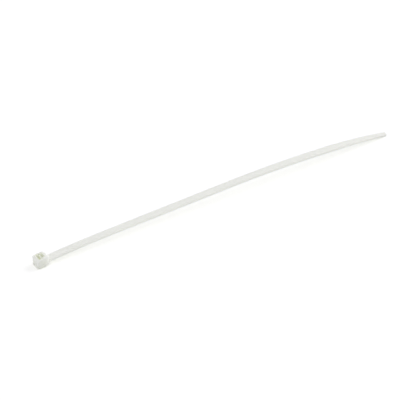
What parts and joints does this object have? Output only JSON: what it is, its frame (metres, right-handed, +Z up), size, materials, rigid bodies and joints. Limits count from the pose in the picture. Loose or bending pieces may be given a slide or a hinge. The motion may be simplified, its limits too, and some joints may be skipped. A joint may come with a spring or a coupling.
{
  "type": "cable tie",
  "caption": "Thin one-piece nylon cable tie: a toothed strap with a tapered tail and a small slotted head, whose pawl locks the strap in a loop.",
  "frame": {"origin": "centre of the tie's box on the surface that it lies on", "axes": "+X from the head to the tip of the tail, +Z up, out of the smooth side of the strap; the tie is the same on both sides of the plane Y = 0"},
  "size_m": [0.1496, 0.0044, 0.0051],
  "materials": {
    "natural_nylon": "satin, milky and slightly translucent, faint warm green tint"
  },
  "bodies": {
    "root": {"cable_tie": "natural_nylon"}
  },
  "joints": []
}
